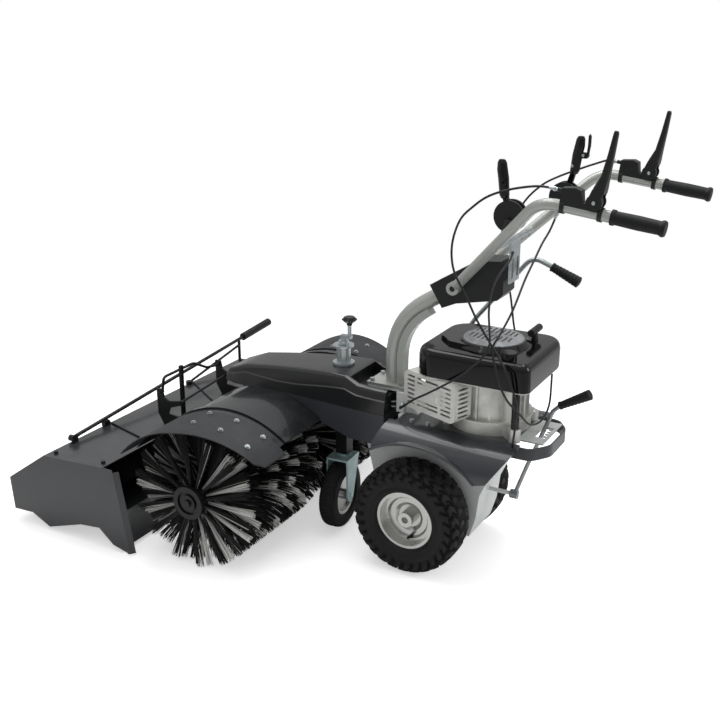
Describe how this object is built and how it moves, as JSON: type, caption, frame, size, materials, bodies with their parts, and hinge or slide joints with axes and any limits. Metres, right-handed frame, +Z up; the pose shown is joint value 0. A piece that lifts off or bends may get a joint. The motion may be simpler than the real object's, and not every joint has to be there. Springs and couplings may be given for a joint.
{
  "type": "walk-behind power sweeper",
  "caption": "Walk-behind power sweeper: petrol drive unit on lugged wheels, swivelling cylindrical brush, support castor, tipping dirt collector and a tilting handlebar with levers.",
  "frame": {"origin": "Middle of the footprint's bounding box, on the ground plane.", "axes": "+X runs from the dirt collector in front to the handlebar behind, +Y to the operator's right, +Z up. The machine travels towards -X."},
  "size_m": [1.877, 1.2106, 1.2844],
  "materials": {
    "grey_paint": "satin",
    "hood_paint": "gloss",
    "guard_paint": "gloss",
    "silver_paint": "satin",
    "bin_paint": "satin",
    "black_steel": "satin",
    "cast_alloy": "matt",
    "steel": "satin",
    "zinc": "satin",
    "rim_paint": "satin",
    "tyre": "matt",
    "bristle": "matt",
    "black_plastic": "satin",
    "gloss_black": "gloss",
    "cap_grey": "satin",
    "rubber": "matt"
  },
  "bodies": {
    "drive_unit": {"chassis_frame": "grey_paint", "hood": "hood_paint", "rear_bumper": "guard_paint", "gearbox": "cast_alloy", "engine_block": "cast_alloy", "muffler_guard": "zinc", "engine_shroud": "gloss_black", "shroud_cap": "cap_grey", "column_tube": "silver_paint", "joint_cover": "black_plastic", "drive_belts": "rubber", "frame_bolts": "zinc", "left_clutch_cable": "rubber", "right_clutch_cable": "rubber", "throttle_cable": "rubber", "brush_cable": "rubber"},
    "gearbox_input": {"gearbox_pulley": "steel"},
    "crank": {"crankshaft": "steel"},
    "left_wheel": {"left_tyre": "tyre", "left_rim": "rim_paint"},
    "right_wheel": {"right_tyre": "tyre", "right_rim": "rim_paint"},
    "brush_head": {"belt_housing": "guard_paint", "housing_cover": "black_plastic", "head_belt": "rubber", "brush_gearbox": "cast_alloy", "brush_guards": "guard_paint", "guard_flaps": "rubber", "guard_bolts": "zinc", "spindle_tube": "zinc"},
    "swivel_drive": {"swivel_shaft": "steel"},
    "brush_drive": {"brush_input": "steel"},
    "brush": {"brush_shaft": "black_steel", "left_bristles": "bristle", "right_bristles": "bristle"},
    "crank_handle": {"height_crank": "zinc", "crank_knob": "gloss_black"},
    "leg": {"castor_leg": "black_steel"},
    "fork": {"castor_fork": "zinc"},
    "castor_wheel": {"castor_tyre": "tyre", "castor_rim": "rim_paint"},
    "collector": {"collector_bin": "bin_paint", "collector_brackets": "black_steel"},
    "tip_lever": {"collector_lever": "black_steel", "collector_grip": "rubber"},
    "latch": {"latch_handle": "black_steel"},
    "handlebar": {"left_arm": "silver_paint", "right_arm": "silver_paint", "handle_grips": "rubber", "control_housings": "black_plastic", "lock_bracket": "zinc"},
    "left_clutch": {"left_clutch_lever": "black_plastic"},
    "right_clutch": {"right_clutch_lever": "black_plastic"},
    "left_control": {"left_control_lever": "gloss_black"},
    "right_control": {"right_control_lever": "gloss_black"},
    "trigger": {"control_trigger": "black_plastic"},
    "gear_stick": {"gear_lever": "steel"},
    "angle_stick": {"angle_lever": "zinc"},
    "starter": {"starter_handle": "black_plastic"},
    "filler_cap": {"fuel_cap": "gloss_black"}
  },
  "joints": [
    {"name": "left_wheel_spin", "type": "hinge", "parent": "drive_unit", "child": "left_wheel", "pos_m": [0.28147, -0.24728, 0.165], "axis": [0, 1, 0], "continuous": true},
    {"name": "right_wheel_spin", "type": "hinge", "parent": "drive_unit", "child": "right_wheel", "pos_m": [0.28147, 0.05672, 0.165], "axis": [0, 1, 0], "continuous": true},
    {"name": "gearbox_spin", "type": "hinge", "parent": "drive_unit", "child": "gearbox_input", "pos_m": [0.28147, -0.09528, 0.355], "axis": [0, 0, 1], "continuous": true},
    {"name": "crankshaft_spin", "type": "hinge", "parent": "drive_unit", "child": "crank", "pos_m": [0.44947, -0.09528, 0.4], "axis": [0, 0, 1], "continuous": true},
    {"name": "head_swivel", "type": "hinge", "parent": "drive_unit", "child": "brush_head", "pos_m": [0.14347, -0.09528, 0.334], "axis": [0, 0, 1], "range_deg": [-15, 15]},
    {"name": "angle_lever_swing", "type": "hinge", "parent": "drive_unit", "child": "angle_stick", "pos_m": [0.22147, 0.01672, 0.47], "axis": [0, 1, 0], "range_deg": [-12, 12]},
    {"name": "swivel_shaft_spin", "type": "hinge", "parent": "drive_unit", "child": "swivel_drive", "pos_m": [0.14347, -0.09528, 0.4], "axis": [0, 0, 1], "continuous": true},
    {"name": "brush_input_spin", "type": "hinge", "parent": "brush_head", "child": "brush_drive", "pos_m": [-0.26353, -0.09528, 0.447], "axis": [0, 0, 1], "continuous": true},
    {"name": "brush_spin", "type": "hinge", "parent": "brush_head", "child": "brush", "pos_m": [-0.26353, -0.09528, 0.209], "axis": [0, 1, 0], "continuous": true},
    {"name": "height_crank_turn", "type": "hinge", "parent": "brush_head", "child": "crank_handle", "pos_m": [-0.02653, -0.09528, 0.59], "axis": [0, 0, 1], "range_deg": [-1080, 1080]},
    {"name": "castor_height", "type": "slide", "parent": "brush_head", "child": "leg", "axis": [0, 0, 1], "range_m": [-0.012, 0.012]},
    {"name": "castor_swivel", "type": "hinge", "parent": "leg", "child": "fork", "pos_m": [-0.02653, -0.09528, 0.24], "axis": [0, 0, 1], "range_deg": [-4, 170]},
    {"name": "castor_spin", "type": "hinge", "parent": "fork", "child": "castor_wheel", "pos_m": [-0.02444, -0.12521, 0.105], "axis": [0.9976, 0.0698, 0], "continuous": true},
    {"name": "collector_tilt", "type": "hinge", "parent": "brush_head", "child": "collector", "pos_m": [-0.51053, -0.09528, 0.286], "axis": [0, 1, 0], "range_deg": [0, 45]},
    {"name": "tip_lever_lift", "type": "hinge", "parent": "collector", "child": "tip_lever", "pos_m": [-0.77653, -0.48628, 0.268], "axis": [1, 0, 0], "range_deg": [0, 20]},
    {"name": "latch_swing", "type": "hinge", "parent": "collector", "child": "latch", "pos_m": [-0.61253, -0.09528, 0.371], "axis": [0, 1, 0], "range_deg": [0, 25]},
    {"name": "handlebar_tilt", "type": "hinge", "parent": "drive_unit", "child": "handlebar", "pos_m": [0.35147, -0.09528, 0.822], "axis": [0, 1, 0], "range_deg": [-10, 10], "deforming": ["left_clutch_cable", "right_clutch_cable", "throttle_cable", "brush_cable"]},
    {"name": "left_clutch_squeeze", "type": "hinge", "parent": "handlebar", "child": "left_clutch", "pos_m": [0.77484, -0.33528, 1.12392], "axis": [0, 1, 0], "range_deg": [0, 70], "stiffness_Nm_per_rad": 2},
    {"name": "right_clutch_squeeze", "type": "hinge", "parent": "handlebar", "child": "right_clutch", "pos_m": [0.77484, 0.14472, 1.12392], "axis": [0, 1, 0], "range_deg": [0, 70], "stiffness_Nm_per_rad": 2},
    {"name": "left_control_swing", "type": "hinge", "parent": "handlebar", "child": "left_control", "pos_m": [0.53047, -0.22528, 1.049], "axis": [0, 1, 0], "range_deg": [-20, 20]},
    {"name": "right_control_swing", "type": "hinge", "parent": "handlebar", "child": "right_control", "pos_m": [0.57647, 0.05072, 1.057], "axis": [0, 1, 0], "range_deg": [-20, 20]},
    {"name": "trigger_squeeze", "type": "hinge", "parent": "right_control", "child": "trigger", "pos_m": [0.62847, 0.05072, 1.169], "axis": [0, 1, 0], "range_deg": [-8, 0], "stiffness_Nm_per_rad": 0.05},
    {"name": "gear_shift", "type": "hinge", "parent": "drive_unit", "child": "gear_stick", "pos_m": [0.53247, -0.09528, 0.225], "axis": [1, 0, 0], "range_deg": [-8, 8]},
    {"name": "starter_pull", "type": "slide", "parent": "drive_unit", "child": "starter", "axis": [0, 0, 1], "range_m": [0, 0.055], "stiffness_N_per_m": 60},
    {"name": "fuel_cap_twist", "type": "hinge", "parent": "drive_unit", "child": "filler_cap", "pos_m": [0.53747, -0.20528, 0.67], "axis": [0, 0, 1], "range_deg": [0, 90]}
  ],
  "couplings": [
    {"joint": "angle_lever_swing", "follows": "head_swivel", "ratio": 0.8},
    {"joint": "height_crank_turn", "follows": "castor_height", "rad_per_m": 1570.8},
    {"joint": "brush_input_spin", "follows": "brush_spin", "ratio": 2},
    {"joint": "swivel_shaft_spin", "follows": "brush_spin", "ratio": 2}
  ]
}
